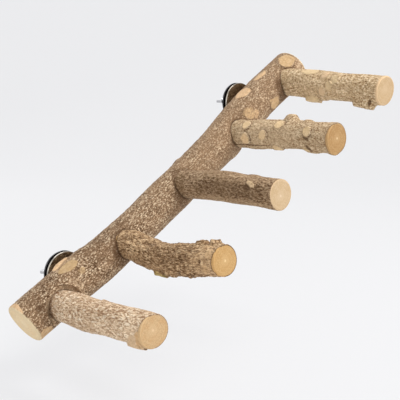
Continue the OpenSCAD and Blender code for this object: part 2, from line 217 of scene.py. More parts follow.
TRUNK_SHADES = [
    (0.147, -92, 0.42, 4, 0.8, 0.6, -14), (0.07, -52, 0.9, 40, 0.3), (0.985, -12, 0.30, 34, -0.6),
    (0.036, -8, 0.30, 36, 0.5), (0.0885, 10, 1.05, 62, -0.45), (0.262, 2, 0.45, 42, 0.5),
    (0.474, 2, 0.45, 42, 0.5), (0.686, 2, 0.45, 42, 0.15), (0.896, 6, 0.45, 42, 0.7), (0.740, -44, 0.7, 12, 0.4),
    (0.25, -60, 1.5, 50, 0.3), (0.132, -22, 0.24, 24, -0.4), (0.880, -40, 0.9, 22, 0.2),
]
# On the first peg, painted shade darkens the underside near the foot and painted light lifts the middle: the rows at
# 0.45 and 0.75
PEG_SHADES = [
    [
        (0.955, 164, 0.12, 10, 1, 0.6), (0.948, 128, 0.05, 26, 0.8, 0.4, 6), (0.968, 124, 0.05, 38, 0.8, 0.4, 6),
        (0.45, 160, 3.5, 40, 0.15), (0.75, 110, 2.2, 46, -0.4), (0.93, 75, 0.8, 46, -0.35),
    ],
    [
        (0.871, 90, 0.12, 9, 1, 0.7), (0.640, 158, 0.22, 26, 0.8, 2.2), (0.752, 158, 0.14, 26, 0.6, 1.4),
        (0.472, 158, 0.14, 26, 0.6, 1.3), (0.50, 60, 2.2, 60, 0.25), (0.97, 85, 1.6, 75, -0.6),
    ],
    [
        (0.770, 68, 0.32, 12, 0.8, 0.4), (0.860, 62, 0.10, 12, 0.7, 0.4), (0.60, 88, 3.6, 30, 0.35),
        (0.60, 14, 4.4, 32, -0.35), (0.60, 148, 4.4, 30, -0.55),
    ],
    [
        (0.795, 95, 0.28, 6, 0.7, 0.5, 25), (0.802, 137, 0.34, 6, 0.8, 0.6, 45), (0.418, 92, 0.05, 18, 0.5, 0.5),
        (0.560, 60, 0.10, 16, 0.4, 0.3, -40), (0.21, 136, 2.3, 3, 1, 0.5), (0.40, 85, 2.8, 60, -0.45),
    ],
    [(0.915, 141, 0.10, 12, 1, 0.8, 20), (0.41, 135, 0.30, 7, 0.6, 0, 20), (0.48, 95, 2.2, 60, -0.3)],
]

# The camera: the photograph's viewing angle, fitted to the perch
CAMERA_AZIMUTH, CAMERA_ELEVATION = math.radians(-42.47), math.radians(9.91)
CAMERA_DISTANCE = 0.7991
CAMERA_TARGET = Vector((0.1447, -0.0188, 0.0503))
FRAME_PIXELS, FOCAL_PIXELS, SENSOR_MM = 400, 819.3, 36


def srgb(red, green, blue):
    """A linear colour from a screen colour of 0 to 255."""
    def linear(c):
        c /= 255
        return c / 12.92 if c <= 0.04045 else ((c + 0.055) / 1.055) ** 2.4
    return (linear(red), linear(green), linear(blue), 1.0)


def with_colors(look):
    """A look whose screen colours, its tuples of three, are made linear."""
    for key, value in look.items():
        if isinstance(value, tuple) and len(value) == 3:
            look[key] = srgb(*value)
    return SimpleNamespace(**look)


def smooth(t):
    """A soft step from 0 at 0 to 1 at 1."""
    c = np.clip(t, 0, 1)
    return c * c * (3 - 2 * c)


def within(far, edge, band):
    """1 inside a mark, falling to 0 at its edge over a band. far is the distance from its middle."""
    return smooth((edge - far) / band)


def curve_at(table, t):
    """Value at t of a smooth curve through a table of (place, value), level at both ends."""
    place, value = np.array(table, float).T
    slope = np.zeros(len(place))
    slope[1:-1] = (value[2:] - value[:-2]) / (place[2:] - place[:-2])
    i = np.clip(np.searchsorted(place, t) - 1, 0, len(place) - 2)
    step = place[i + 1] - place[i]
    c = np.clip((t - place[i]) / step, 0, 1)
    rise = value[i + 1] - value[i]
    a, b = slope[i] * step, slope[i + 1] * step
    return value[i] + c * a + c * c * (3 * rise - 2 * a - b) + c ** 3 * (a + b - 2 * rise)


def turn_between(a, b):
    """The angle between two directions, in degrees from 0 to 180."""
    return np.abs((a - b + 900) % 360 - 180)


def in_place(place, points):
    """Points in metres as seen from a placing matrix, in its millimetres."""
    back = np.array(place.inverted())
    return points @ back[:3, :3].T + back[:3, 3]


def add_object(name, data):
    """A new object in the scene."""
    obj = bpy.data.objects.new(name, data)
    bpy.context.collection.objects.link(obj)
    return obj


class Limb:
    """A branch along its own +Z, in millimetres, with the bend, girth, knots and bark of one real piece."""

    def __init__(self, length, radius, rounding, seed, shape, marks, bark, place, clean=0.0, foot=0.0, axis=(1, 0)):
        self.length, self.radius, self.rounding, self.seed = length, radius, rounding, seed
        self.bend, self.girth, knots = shape
        patches, shades = marks
        self.knots = [Knot(*row) for row in knots]
        self.sawn = [knot for knot in self.knots if knot.flat > SAWN_FROM]
        self.patches = [Patch(*row) for row in patches]
        self.shades = [Shade(*row) for row in shades]
        self.bark, self.place = bark, place
        self.clean, self.foot, self.axis = clean, foot, axis

    def shift(self, z):
        """How far the bend carries the branch's middle along its axis of bending."""
        along = np.maximum(0, z - self.clean) / (self.length - self.clean)
        return self.radius * curve_at(self.bend, along)

    def to_end(self, z):
        return np.minimum(z, self.length - z)

    def from_middle(self, z, a, mark):
        """How far each place is from a mark's middle, 1 at its edge, and the way round to it."""
        along = (z - mark.place * self.length) / self.radius
        across = np.radians((a - mark.angle + 540) % 360 - 180)
        lean = math.radians(mark.lean)
        u = (along * math.cos(lean) + across * math.sin(lean)) / mark.half_len
        v = (across * math.cos(lean) - along * math.sin(lean)) / math.radians(mark.half_width)
        return np.hypot(u, v), np.arctan2(v, u)

    def knot_rise(self, knot, z, a):
        far, _ = self.from_middle(z, a, knot)
        return knot.height * np.minimum(1, knot.flat * np.exp(-far ** 4))

    def plain_radius(self, z, a):
        """The radius that the part's solid has."""
        rough = smooth((z - self.clean) / self.radius) if self.clean else 1.0
        slow = 360 * z / (WAVE_LEN_SHARE * self.radius)
        wave = np.sin(np.radians(2 * a + slow + self.seed))
        wave = wave + CROSS_WAVE_DEPTH * np.sin(np.radians(3 * a - slow * CROSS_WAVE_SHARE + 2 * self.seed))
        rise = np.max([self.knot_rise(knot, z, a) for knot in self.knots], axis=0)
        growth = curve_at(self.girth, z / self.length) - 1 + WAVE_SHARE * wave + rise
        return self.radius * (1 + rough * growth)

    def sawn_reach(self, reach, z, a):
        """The reach with each sawn knot planed flat."""
        for knot in self.sawn:
            top = self.radius * (1 + knot.height)
            half_turn = math.radians(knot.half_width * SAWN_WIDTH_SHARE)
            plane = top * (1 - SAG_SHARE * (1 - math.cos(half_turn)))
            turn = np.radians(np.minimum(turn_between(a, knot.angle), SAWN_TURN))
            far, _ = self.from_middle(z, a, knot)
            reach = reach + within(far, *SAWN_EDGE) * (np.minimum(reach, plane / np.cos(turn)) - reach)
        return reach

    def carving(self, z, a):
        """Collars and crevices round the bare knots and the cut-in marks, in millimetres."""
        cut = np.zeros_like(z * a)
        for knot in self.sawn:
            if knot.bare < CARVED_FROM:
                continue
            far, way = self.from_middle(z, a, knot)
            mm = knot.half_len * self.radius
            ring = (far - COLLAR_AT) * mm / RING_MM
            cut += COLLAR_MM * (1 + 0.5 * np.sin(2 * way + knot.angle)) * np.exp(-ring ** 2)
            uneven = 1 + 0.6 * np.sin(way + knot.place * KNOT_PHASE)
            cut -= CREVICE_MM * uneven * np.exp(-(ring - CREVICE_AT) ** 2)
        for mark in self.shades:
            far, _ = self.from_middle(z, a, mark)
            cut -= mark.cut_mm * np.exp(-far ** 2)
        return cut

    def bare(self, z, a):
        """How bare of bark each place is, and the tone of its bare wood."""
        bare, tone = np.zeros_like(z * a), np.zeros_like(z * a)
        tops = [
            Patch(k.place, k.angle, k.half_len * KNOT_BARE, k.half_width * KNOT_BARE, k.bare, k.tone)
            for k in self.knots
        ]
        for spot in tops + self.patches:
            far, way = self.from_middle(z, a, spot)
            wobble = 0.05 * np.sin(3 * way + 9 * spot.place)
            far = far * (1 + wobble + 0.04 * np.sin(5 * way + 2 * spot.angle))
            mask = spot.bare * within(far, *BARE_EDGE)
            tone = np.where(mask > bare, spot.tone, tone)
            bare = np.maximum(bare, mask)
        return bare, tone

    def crevice_shade(self, z, a):
        """Up to 1 in the dark ring round each bare sawn knot: painted shade in its crevice, stronger on one side."""
        ring = np.zeros_like(z * a)
        for knot in self.sawn:
            far, way = self.from_middle(z, a, knot)
            mm = knot.half_len * self.radius
            side = 0.6 + 0.4 * np.sin(way + knot.place * KNOT_PHASE)
            ring = np.maximum(ring, knot.bare * side * np.exp(-((far - DARK_RING_AT) * mm / DARK_RING_MM) ** 2))
        return ring

    def shade(self, z, a):
        """How much darker, or lighter below 0, the bark is: cracks and marks, with painted shadows and painted light
        among them.
        """
        total = np.zeros_like(z * a)
        for mark in self.shades:
            far, _ = self.from_middle(z, a, mark)
            total += mark.strength * within(far, *SHADE_EDGE)
        return total

    def inset(self, z):
        """How far the sanded round at each end draws the surface in."""
        t = np.clip(1 - self.to_end(z) / self.rounding, 0, 1)
        return self.rounding * (1 - np.sqrt(1 - t * t))

    def surface(self, rings, sides):
        """The branch's points as rings of (x, y, z)."""
        z = rings[:, None] * np.ones(sides)
        a = np.ones(len(rings))[:, None] * (np.arange(sides) * 360 / sides)
        reach = self.sawn_reach(self.plain_radius(z, a), z, a)
        rad = np.radians(a)
        straight = np.stack([reach * np.cos(rad), reach * np.sin(rad), z], -1).reshape(-1, 3)
        relief = bark_relief(self, straight).reshape(z.shape) - self.bark.sink_mm
        calm = 1 - BARE_CALM * self.bare(z, a)[0]
        past_round = self.to_end(z) - self.rounding * ROUND_CALM
        calm = calm * smooth(past_round / max(self.bark.edge_mm, EDGE_CALM_MM))
        calm = calm * (smooth((z - self.foot) / FOOT_CALM_MM) if self.clean else 1)
        reach = reach + calm * relief + self.carving(z, a) - self.inset(z) - FACET_GAP_MM
        shift = self.shift(z)
        x = reach * np.cos(rad) + shift * self.axis[0]
        y = reach * np.sin(rad) + shift * self.axis[1]
        return np.stack([x, y, z], -1)


def bark_relief(limb, points):
    """Height of the bark's own relief at each point of the straightened branch, in millimetres."""
    bark = limb.bark
    away = Vector((17.0 * limb.seed / 70, 3.1, 0))
    heights = np.empty(len(points))
    for i, (x, y, z) in enumerate(points):
        p = Vector((x, y, z / bark.drawn)) / bark.relief_mm + away
        p += WARP_SHARE * noise.noise_vector(p * WARP_SCALE)
        h = bark.depth_mm * noise.fractal(p, FRACTAL_POWER, FRACTAL_GAP, FRACTAL_OCTAVES)
        if bark.crack_mm:
            near = noise.voronoi(p * CRACK_SCALE)[0]
            h -= bark.crack_mm * max(0, 1 - (near[1] - near[0]) / CRACK_WIDTH)
        heights[i] = h
    return heights


def ring_heights(limb, step):
    """Heights of the mesh's rings: fine in the sanded rounds, even between them."""
    turns = [math.pi / 2 * i / ROUND_RINGS for i in range(ROUND_RINGS + 1)]
    low = [limb.rounding * (1 - math.cos(t)) for t in turns[:-1]]
    high = [limb.length - limb.rounding + limb.rounding * math.sin(t) for t in turns[1:]]
    count = math.ceil((limb.length - 2 * limb.rounding) / step)
    between = [limb.rounding + (limb.length - 2 * limb.rounding) * i / count for i in range(count + 1)]
    return np.array(low + between + high)


def ring_quads(rings, sides, first=0):
    """Faces between rings of points that are numbered ring by ring from first."""
    quads = []
    for i in range(rings - 1):
        p, q = first + i * sides, first + (i + 1) * sides
        for j in range(sides):
            k = (j + 1) % sides
            quads.append((p + j, p + k, q + k, q + j))
    return quads


def build_limb(name, limb, step):
    """The branch as a closed mesh, with bark round it and end grain on both end faces."""
    surface = limb.surface(ring_heights(limb, step), round(2 * math.pi * limb.radius / step))
    _, sides, _ = surface.shape
    low_cap, high_cap = [], []
    for k in range(1, CAP_RINGS):
        for cap, ring in ((low_cap, surface[0]), (high_cap, surface[-1])):
            middle = ring.mean(0)
            cap.append(middle + (ring - middle) * (1 - k / CAP_RINGS))
    layers = low_cap[::-1] + list(surface) + high_cap
    points = np.concatenate([surface[0].mean(0)[None]] + layers + [surface[-1].mean(0)[None]])
    total = len(layers)
    last = 1 + (total - 1) * sides
    faces = []
    for j in range(sides):
        k = (j + 1) % sides
        faces += [(0, 1 + k, 1 + j), (last + sides, last + j, last + k)]
    slots = [END_GRAIN] * len(faces)
    faces += ring_quads(total, sides, first=1)
    for i in range(total - 1):
        on_cap = i < CAP_RINGS - 1 or i >= total - CAP_RINGS
        slots += [END_GRAIN if on_cap else BARK] * sides
    mesh = bpy.data.meshes.new(name)
    mesh.from_pydata(points.tolist(), [], faces)
    mesh.polygons.foreach_set("material_index", slots)
    mesh.polygons.foreach_set("use_smooth", [True] * len(faces))
    mesh.transform(limb.place)
    return add_object(name, mesh)


def round_cutter(place, profile, sides=72):
    """A turned cutter in millimetres along +Z of place, from rows of (height, radius, slot of the band above)."""
    bm = bmesh.new()
    rings = []
    for height, radius, _ in profile:
        turn = [2 * math.pi * j / sides for j in range(sides)]
        rings.append([bm.verts.new((radius * math.cos(t), radius * math.sin(t), height)) for t in turn])
    bm.faces.new(rings[0][::-1]).material_index = profile[0][2]
    bm.faces.new(rings[-1]).material_index = profile[-1][2]
    for low, high, (_, _, slot) in zip(rings, rings[1:], profile):
        for j in range(sides):
            k = (j + 1) % sides
            bm.faces.new((low[j], low[k], high[k], high[j])).material_index = slot
    bm.transform(place)
    mesh = bpy.data.meshes.new("cutter")
    bm.to_mesh(mesh)
    bm.free()
    return add_object("cutter", mesh)


def cut(obj, cutters):
    """Cuts the cutters out of obj for good and deletes them."""
    for cutter in cutters:
        tool = obj.modifiers.new("cut", "BOOLEAN")
        tool.operation, tool.solver, tool.object = "DIFFERENCE", "EXACT", cutter
        tool.material_mode = "INDEX"
    graph = bpy.context.evaluated_depsgraph_get()
    mesh = bpy.data.meshes.new_from_object(obj.evaluated_get(graph))
    obj.modifiers.clear()
    old, obj.data = obj.data, mesh
    name = old.name
    bpy.data.meshes.remove(old)
    mesh.name = name
    for cutter in cutters:
        bpy.data.meshes.remove(cutter.data)


def gap_to_trunk(trunk, points):
    """How far points in metres lie outside the trunk, in millimetres."""
    local = in_place(trunk.place, points)
    local[:, :2] -= trunk.shift(local[:, 2])[:, None] * np.array(trunk.axis)
    return np.hypot(local[:, 0], local[:, 1]) - trunk.radius


def gap_to_pegs(points):
    """How far points in metres lie outside the nearest peg's round, in millimetres."""
    gaps = []
    for i in range(PEG_COUNT):
        local = in_place(on_peg(i), points)
        gap = np.hypot(local[:, 0], local[:, 1]) - PEG_R * PEG_D_SHARES[i]
        gaps.append(np.where(local[:, 2] > 0, gap, np.inf))
    return np.min(gaps, axis=0)


def paint_limb(obj, limb, gap_to_others, seam_mm):
    """Gives each vertex its place in the straightened branch and its marks, for the materials."""
    mesh = obj.data
    flat = np.empty(len(mesh.vertices) * 3)
    mesh.vertices.foreach_get("co", flat)
    points = flat.reshape(-1, 3)
    # Painted shade in the seam next to the other limbs
    seam = np.exp(-(np.maximum(gap_to_others(points), 0) / seam_mm) ** 2)
    local = in_place(limb.place, points)
    z = np.clip(local[:, 2], 0, limb.length)
    local[:, :2] -= limb.shift(z)[:, None] * np.array(limb.axis)
    a = np.degrees(np.arctan2(local[:, 1], local[:, 0]))
    bare, tone = limb.bare(z, a)
    slant = limb.bark.slant_mm * np.maximum(0, np.cos(np.radians(a - SLANT_ANGLE)))
    marks = {
        "bare": bare, "tone": tone, "crevice_shade": limb.crevice_shade(z, a),
        "shade": limb.shade(z, a) + SEAM_SHADE * seam, "left": limb.to_end(z) - slant,
        "height": np.hypot(local[:, 0], local[:, 1]) + limb.inset(z) - limb.plain_radius(z, a),
    }
    for name, values in marks.items():
        mesh.attributes.new(name, "FLOAT", "POINT").data.foreach_set("value", values.astype(np.float32))
    grain = mesh.attributes.new("grain", "FLOAT_VECTOR", "POINT")
    grain.data.foreach_set("vector", local.astype(np.float32).ravel())


class Nodes:
    """A short way to write the nodes of a material or world. Inputs are numbers, colours or other nodes' outputs."""

    def __init__(self, owner):
        owner.use_nodes = True
        self.owner, self.tree = owner, owner.node_tree
        self.tree.nodes.clear()

    def add(self, kind, inputs=None, out=0, **settings):
        """The output of a new node, whose kind is written without the word ShaderNode."""
        node = self.tree.nodes.new("ShaderNode" + kind)
        for key, value in settings.items():
            setattr(node, key, value)
        for key, value in (inputs or {}).items():
            if isinstance(value, bpy.types.NodeSocket):
                self.tree.links.new(value, node.inputs[key])
            else:
                node.inputs[key].default_value = value
        return node.outputs[out]

    def mark(self, name, out="Fac"):
        """A mark that paint_limb gave the vertices."""
        return self.add("Attribute", out=out, attribute_name=name)

    def math(self, operation, a, b=0.0, c=0.0):
        return self.add("Math", {0: a, 1: b, 2: c}, operation=operation)

    def plus(self, a, b):
        return self.math("ADD", a, b)

    def minus(self, a, b):
        return self.math("SUBTRACT", a, b)

    def times(self, a, b):
        return self.math("MULTIPLY", a, b)

    def range(self, value, low, high, to_low=0.0, to_high=1.0):
        inputs = {"Value": value, "From Min": low, "From Max": high, "To Min": to_low, "To Max": to_high}
        return self.add("MapRange", inputs, interpolation_type="SMOOTHSTEP")

    def stretch(self, vector, scale, shift=(0, 0, 0)):
        return self.add("Mapping", {"Vector": vector, "Scale": scale, "Location": shift})

    def pushed(self, vector, drift, much):
        """The vector pushed aside by a drifting colour."""
        inputs = {0: drift, 1: (much, much, much), 2: vector}
        return self.add("VectorMath", inputs, operation="MULTIPLY_ADD")

    def ramp(self, value, *stops):
        """A colour from a value, by stops of (place, colour)."""
        color = self.add("ValToRGB", {"Fac": value})
        elements = color.node.color_ramp.elements
        for place, stop in stops[1:-1]:
            elements.new(place).color = stop
        elements[0].position, elements[0].color = stops[0]
        elements[-1].position, elements[-1].color = stops[-1]
        return color

    def noise(self, vector, scale, detail=3.0, rough=0.55, warp=0.0):
        inputs = {"Vector": vector, "Scale": scale, "Detail": detail, "Roughness": rough, "Distortion": warp}
        return self.add("TexNoise", inputs)

    def dots(self, vector, many, size):
        """Scattered dots of uneven size: many is the share of the unit cells that hold one."""
        cell = self.add("TexVoronoi", {"Vector": vector, "Scale": 1.0}).node
        parts = self.add("SeparateColor", {"Color": cell.outputs["Color"]}).node
        reach = self.math("MULTIPLY_ADD", parts.outputs["Green"], size * 0.8, size * 0.4)
        inside = self.range(self.math("DIVIDE", cell.outputs["Distance"], reach), 1.15, 0.65)
        return self.times(inside, self.range(parts.outputs["Red"], many + 0.04, many - 0.04))

    def mix(self, share, a, b, blend="MIX"):
        """Two colours mixed. 6, 7 and output 2 are the Mix node's colour sockets."""
        return self.add("Mix", {0: share, 6: a, 7: b}, out=2, data_type="RGBA", blend_type=blend)

    def seen(self):
        """1 for rays that show the surface itself: straight to the camera, by a mirror or through glass."""
        path = self.add("LightPath").node
        seen = self.math("MAXIMUM", path.outputs["Is Camera Ray"], path.outputs["Is Glossy Ray"])
        return self.math("MAXIMUM", seen, path.outputs["Is Transmission Ray"])

    def surface(self, shader, kind="Material"):
        node = self.tree.nodes.new("ShaderNodeOutput" + kind)
        self.tree.links.new(shader, node.inputs["Surface"])
        return self.owner

    def finish(self, shader_inputs, height, bump, depth):
        """The material of a plain shader, with a height that roughens it. depth is in metres."""
        normal = self.add("Bump", {"Strength": bump, "Distance": depth, "Height": height})
        return self.surface(self.add("BsdfPrincipled", dict(shader_inputs, Normal=normal)))


def bare_wood(n, grain, value, bark):
    """Colour of wood without its bark, from the tone mark."""
    fine = n.noise(n.stretch(grain, (1, 1, 0.3)), 1.1, 4)
    blotch = n.noise(grain, 0.3, 2)
    wood = n.mix(n.mark("tone"), bark.straw, bark.orange)
    wood = n.mix(n.range(fine, 0.4, 0.68, 0, 0.5), wood, bark.worn)
    wood = n.mix(n.range(value, 0.5, 0.3, 0, 0.4), wood, bark.worn)
    return n.mix(n.range(blotch, 0.4, 0.65, 0, 0.35), wood, n.mix(0.5, wood, srgb(240, 214, 178)))


def bark_color(n, grain, value, furrow, flecks, pits, bark):
    """Colour of the bark alone, before the marks that paint_limb gave."""
    spread, zones = bark.spread, n.noise(grain, 0.06, 2, 0.5)
    color = n.ramp(
        value, (0.5 - 1.6 * spread, bark.dark), (0.5 - 0.4 * spread, bark.mid),
        (0.5 + 0.9 * spread, bark.light), (0.5 + 2.4 * spread, bark.fleck),
    )
    color = n.mix(n.times(pits, bark.pit_share), color, bark.dark)
    color = n.mix(n.times(flecks, bark.fleck_share), color, bark.fleck)
    color = n.mix(n.range(zones, 0.35, 0.65, 0, bark.zone_share), color, bark.zone)
    color = n.mix(n.times(furrow, bark.furrow_share), color, bark.dark)
    up_limb = n.add("SeparateXYZ", {"Vector": grain}, out="Z")
    return n.mix(n.range(up_limb, *FADE_MM, 0, bark.fade_share), color, bark.fade)


def bark_material(name, bark):
    """Bark: fine dark and light specks drawn out along the branch, in clusters, with thin furrows."""
    n = Nodes(bpy.data.materials.new(name))
    grain = n.mark("grain", out="Vector")
    size, cell, drawn = bark.grain_mm, bark.dot_mm, bark.drawn
    along = n.stretch(grain, (1 / size, 1 / size, 1 / (size * drawn)))
    drift = n.add("TexNoise", {"Vector": along, "Scale": 0.4, "Detail": 1.0}, out="Color")
    speck = n.noise(n.pushed(along, drift, 1.4), 1.0, 2.2, 0.6)
    cluster = n.noise(n.stretch(along, (1, 1, 1), (31, 17, 5)), 0.28, 2)
    value = n.plus(speck, n.times(n.minus(cluster, 0.5), bark.cluster))
    value = n.minus(value, n.times(n.mark("shade"), 0.06))
    strands = n.noise(n.stretch(grain, (0.8, 0.8, 0.1), (3, 7, 0)), 1.0, 2, 0.6, 0.4)
    furrow = n.range(n.math("ABSOLUTE", n.minus(strands, 0.5)), bark.furrow_width, 0.0)
    spots = n.pushed(n.stretch(grain, (1 / cell, 1 / cell, 1 / (cell * drawn))), drift, 0.5)
    flecks = n.dots(spots, bark.many_flecks, bark.fleck_size)
    pits = n.dots(n.stretch(spots, (1, 1, 0.7), (0.3, 0.4, 7.2)), bark.many_pits, bark.fleck_size)
    color = bark_color(n, grain, value, furrow, flecks, pits, bark)

    # Painted shade in the pegs' hollows and painted light on the trunk's flats, then the darker and lighter marks,
    # painted shadows and painted light among them
    hollow = n.range(n.mark("height"), bark.hollow_mm, bark.hollow_mm - HOLLOW_BAND_MM)
    color = n.mix(n.times(hollow, bark.hollow_share), color, bark.hollow)
    color = n.mix(n.range(n.mark("shade"), 0.0, 1.0, 0, 0.75), color, bark.deep)
    lit = n.mix(0.5, n.mix(1.0, color, (LIT_GAIN, LIT_GAIN, LIT_GAIN, 1), "MULTIPLY"), bark.light)
    color = n.mix(n.range(n.mark("shade"), 0.0, -1.0, 0, 0.8), color, lit)

    # Bare wood with its cracks and the painted shade of seams and feet, and the dark rings round knots, painted
    # shade in their crevices. The edges wander with the bark's grain
    wander = n.times(n.minus(value, 0.5), 1.1)
    bare = n.range(n.math("MULTIPLY_ADD", wander, 0.6, n.mark("bare")), 0.2, 0.75, 0, 0.95)
    color = n.mix(bare, color, bare_wood(n, grain, value, bark))
    # Cracks on bare wood, and the painted shade of seams and feet where it falls on bare wood
    cracks_and_painted_shade = n.times(n.range(n.mark("shade"), 0.3, 0.9, 0, 0.6), bare)
    color = n.mix(cracks_and_painted_shade, color, bark.deep)
    crevice_shade = n.range(n.minus(n.mark("crevice_shade"), wander), 0.3, 0.9, 0, bark.crevice_share)
    color = n.mix(crevice_shade, color, bark.deep)

    # The sanded rim at the ends, and a dark line where the bark begins
    edge, soft = bark.edge_mm, bark.edge_soft
    left = n.minus(n.mark("left"), n.times(wander, bark.edge_ragged))
    rim = n.range(left, edge + soft, edge - soft)
    color = n.mix(n.times(rim, bark.rim_share), color, bark.rim)
    line_out, line_full, line_in = LINE_MM
    line = n.range(n.mark("left"), edge + line_out, edge + line_full, 0, bark.line_share)
    line = n.times(line, n.range(n.mark("left"), edge + line_in, edge))
    line = n.times(line, n.minus(1.0, n.mark("bare")))
    color = n.mix(line, color, bark.deep)

    # The fine relief: calmer where the wood is bare or sanded
    height = n.minus(value, n.times(furrow, 0.15))
    height = n.plus(height, n.times(n.minus(flecks, pits), 0.2))
    sanded = n.math("MAXIMUM", bare, rim)
    height = n.times(height, n.minus(1.0, n.times(sanded, 0.7)))
    lumps = n.times(n.noise(grain, 0.34, 1), bare)
    height = n.plus(height, n.times(lumps, bark.lump_share))
    rough = n.range(speck, 0.3, 0.7, 0.92, 0.75)
    return n.finish({"Base Color": color, "Roughness": rough, "Specular IOR Level": 0.2}, height, 0.9, bark.bump_m)


def end_grain_material(name, face):
    """Sanded end grain: soft rings round an off-centre pith, and blotches."""
    n = Nodes(bpy.data.materials.new(name))
    grain = n.mark("grain", out="Vector")
    flat = n.stretch(grain, (1, 1, 0), tuple(-c for c in face.pith_mm) + (0,))
    wobble = n.noise(flat, 0.12, 2)
    reach = n.add("VectorMath", {0: flat}, out="Value", operation="LENGTH")
    reach = n.plus(reach, n.times(wobble, 4.0))
    wave = n.math("SINE", n.times(reach, 2 * math.pi / face.ring_mm))
    fine = n.math("SINE", n.times(reach, 2 * math.pi / (face.ring_mm * 0.37)))
    rings = n.plus(n.times(wave, 0.3), n.times(fine, 0.12))
    rings = n.plus(rings, 0.5)
    patches = n.noise(n.stretch(flat, (1, 1, 1), (5, 9, 0)), 0.16, 2, 0.5, 0.6)
    grit = n.noise(flat, 0.9, 4, 0.65)
    color = n.mix(n.times(rings, face.ring_share), face.wood, face.ring)
    color = n.mix(n.range(patches, 0.42, 0.62, 0, face.patch_share), color, face.patch)
    color = n.mix(n.range(grit, 0.42, 0.66, 0, 0.45), color, face.ring)
    color = n.mix(n.range(grit, 0.5, 0.32, 0, 0.45), color, face.core)
    core = n.range(reach, face.core_mm, 2.0)
    color = n.mix(n.times(core, face.core_share), color, face.core)
    pith = n.range(reach, 3.6, 1.2)
    color = n.mix(n.times(pith, face.pith_share), color, face.pith)
    height = n.plus(n.times(rings, 0.3), grit)
    return n.finish({"Base Color": color, "Roughness": 0.72, "Specular IOR Level": 0.3}, height, 0.25, 0.0003)


def cut_wood_material(name, low, high):
    """Drilled and milled wood: the washers' flats, the screws' countersinks and the pegs' sockets."""
    n = Nodes(bpy.data.materials.new(name))
    fibre = n.noise(n.stretch(n.mark("grain", out="Vector"), (1, 1, 0.2)), 1.2, 4)
    color = n.mix(n.range(fibre, 0.3, 0.7), srgb(*low), srgb(*high))
    return n.finish({"Base Color": color, "Roughness": 0.8}, fibre, 0.3, 0.0003)


def metal_material(name, color, stain, rough, mark_scale, bump):
    """Metal with faint marks: blotches in its colour and shine, and a fine uneven surface."""
    n = Nodes(bpy.data.materials.new(name))
    place = n.add("TexCoord", out="Object")
    blotch = n.noise(place, mark_scale, 4, 0.6)
    fine = n.noise(place, mark_scale * 9, 3, 0.6)
    tint = n.mix(n.range(blotch, 0.35, 0.75, 0, 0.6), srgb(*color), srgb(*stain))
    shine = n.range(blotch, 0.3, 0.75, rough * 0.75, rough * 1.35)
    return n.finish({"Base Color": tint, "Metallic": 1.0, "Roughness": shine}, fine, bump, 0.0002)


def threaded_stud(name, place, low, high):
    """A hanger bolt: a plain wood end with a point, and a machine thread out to a bevelled end."""
    depth, bevel, point, point_share = 0.55, 0.8, 5, 0.05
    steps, sides = 10, 40
    plain_to = STUD_SEAT + WASHER_T - 1.0
    threads = np.arange(plain_to + 0.1, high, THREAD_PITCH / steps)
    heights = np.concatenate([[low, low + point, plain_to], threads, [high]])
    turn = np.arange(sides) / sides
    rings = []
    for z in heights:
        reach = np.full(sides, float(STUD_R))
        if z >= threads[0]:
            phase = (z / THREAD_PITCH - turn) % 1
            reach = STUD_R - depth * np.clip(1.25 - 1.5 * np.abs(2 * phase - 1), 0, 1)
            reach = np.minimum(reach, STUD_R - bevel * np.clip((z - (high - bevel)) / bevel, 0, 1))
        if z <= low:
            reach = reach * point_share
        way = turn * 2 * math.pi
        rings.append(np.stack([reach * np.cos(way), reach * np.sin(way), np.full(sides, z)], -1))
    faces = ring_quads(len(heights), sides)
    faces.append(tuple(range(sides))[::-1])
    faces.append(tuple(range((len(heights) - 1) * sides, len(heights) * sides)))
    mesh = bpy.data.meshes.new(name)
    mesh.from_pydata(np.concatenate(rings).tolist(), [], faces)
    mesh.polygons.foreach_set("use_smooth", [len(f) == 4 for f in faces])
    mesh.transform(place)
    return add_object(name, mesh)


def on_trunk(along, drop=0.0):
    """The matrix of a place on the trunk's straight line, or a drop below it, from millimetres to metres."""
    d = along - CLAMP_PLACES[0]
    below = drop - TRUNK_R * CLAMP_DROPS[0]
    x = d * math.cos(TRUNK_LEAN) + below * math.sin(TRUNK_LEAN)
    z = d * math.sin(TRUNK_LEAN) - below * math.cos(TRUNK_LEAN)
    return Matrix.Scale(MM, 4) @ Matrix.Translation((x, AXIS_Y, z))


def on_peg(i):
    """Turns +Z into peg i's direction out of the trunk, and +X up."""
    turn = Matrix.Rotation(math.radians(-PEG_SWINGS[i]), 4, "Z")
    turn = turn @ Matrix.Rotation(math.radians(90 - PEG_TILTS[i]), 4, "X")
    turn = turn @ Matrix.Rotation(math.radians(90), 4, "Z")
    drop = Matrix.Translation((0, 0, -PEG_R * PEG_DROP_SHARES[i]))
    return on_trunk(PEG_FIRST + i * PEG_SPACING) @ drop @ turn


def on_clamp(i):
    """Turns +Z into a stud's direction out of the wall."""
    return on_trunk(CLAMP_PLACES[i], TRUNK_R * CLAMP_DROPS[i]) @ Matrix.Rotation(math.radians(-90), 4, "X")


